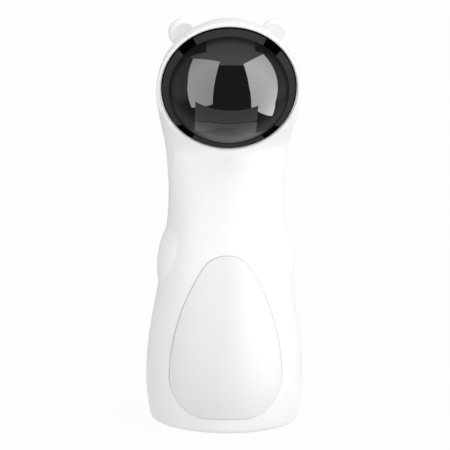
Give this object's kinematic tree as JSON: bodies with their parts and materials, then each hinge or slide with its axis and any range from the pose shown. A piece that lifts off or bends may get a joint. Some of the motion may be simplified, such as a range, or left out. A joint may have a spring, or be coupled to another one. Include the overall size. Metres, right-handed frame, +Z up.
{
  "type": "automatic cat laser toy",
  "caption": "Free-standing figure-shaped pet toy with a smoked dome over a motor-driven laser that pans and tilts.",
  "frame": {"origin": "middle of the footprint, on the floor under the rubber feet", "axes": "+Z up, the face and its dome look towards -Y, +X to the right of someone facing the toy"},
  "size_m": [0.0892, 0.0901, 0.2397],
  "materials": {
    "shell_white": "glossy white",
    "belly_white": "satin, a little greyer than the shell",
    "dome_smoke": "dark smoked, polished",
    "black_plastic": "matt black",
    "gear_plastic": "natural acetal",
    "steel": "bright zinc plate",
    "motor_can": "drawn steel can",
    "brass": "turned",
    "clear_lens": "clear",
    "board_green": "solder mask",
    "base_white": "fine texture",
    "button_grey": "smooth",
    "plunger_black": "smooth",
    "lamp_resin": "clear resin",
    "capacitor_sleeve": "printed sleeve, left blank",
    "cell_wrap": "plain wrap",
    "contact_metal": "nickel plate",
    "foot_rubber": "matt"
  },
  "bodies": {
    "toy": {"front_shell": "shell_white", "rear_shell": "shell_white", "belly_panel": "belly_white", "dome_cover": "dome_smoke", "dome_mask": "black_plastic", "mechanism_frame": "black_plastic", "frame_screws": "steel", "sleeve_clip": "steel", "pan_motor": "motor_can", "main_board": "board_green", "board_screws": "steel", "controller_chip": "black_plastic", "filter_capacitor": "capacitor_sleeve", "usb_socket": "steel", "switch_body": "black_plastic", "status_lamp": "lamp_resin", "light_guide": "lamp_resin", "base_plate": "base_white", "base_screws": "steel", "door_hinge_pin": "steel", "rubber_feet": "foot_rubber", "case_screws": "steel", "battery_cells": "cell_wrap", "top_contacts": "contact_metal"},
    "turntable": {"pan_turntable": "gear_plastic", "tilt_motor": "motor_can"},
    "pan_drive": {"pan_pinion": "gear_plastic", "pan_motor_shaft": "steel"},
    "laser": {"laser_cradle": "black_plastic", "cradle_pins": "steel", "laser_barrel": "brass", "laser_lens": "clear_lens", "laser_driver_board": "board_green", "tilt_gear": "gear_plastic"},
    "tilt_drive": {"tilt_pinion": "gear_plastic", "tilt_motor_shaft": "steel"},
    "button": {"power_button": "button_grey", "switch_plunger": "plunger_black"},
    "door": {"battery_door": "base_white", "door_contacts": "contact_metal", "battery_springs": "contact_metal"}
  },
  "joints": [
    {"name": "laser_pan", "type": "hinge", "parent": "toy", "child": "turntable", "pos_m": [0, -0.022, 0.199], "axis": [0, -0.9703, -0.2419], "range_deg": [-150, 150]},
    {"name": "pan_pinion_spin", "type": "hinge", "parent": "toy", "child": "pan_drive", "pos_m": [0, -0.01674, 0.1779], "axis": [0, -0.9703, -0.2419], "range_deg": [-750, 750]},
    {"name": "laser_tilt", "type": "hinge", "parent": "turntable", "child": "laser", "pos_m": [0, -0.02006, 0.19948], "axis": [1, 0, 0], "range_deg": [-25, 25]},
    {"name": "tilt_pinion_spin", "type": "hinge", "parent": "turntable", "child": "tilt_drive", "pos_m": [0, -0.01306, 0.1944], "axis": [1, 0, 0], "range_deg": [-60, 60]},
    {"name": "power_button_press", "type": "slide", "parent": "toy", "child": "button", "axis": [0, -1, 0], "range_m": [0, 0.0008], "stiffness_N_per_m": 2500, "springref_m": -0.0003},
    {"name": "battery_door_hinge", "type": "hinge", "parent": "toy", "child": "door", "pos_m": [0, 0.0122, 0.0029], "axis": [1, 0, 0], "range_deg": [0, 80]}
  ],
  "couplings": [
    {"joint": "pan_pinion_spin", "follows": "laser_pan", "ratio": -5},
    {"joint": "tilt_pinion_spin", "follows": "laser_tilt", "ratio": -2.4}
  ]
}
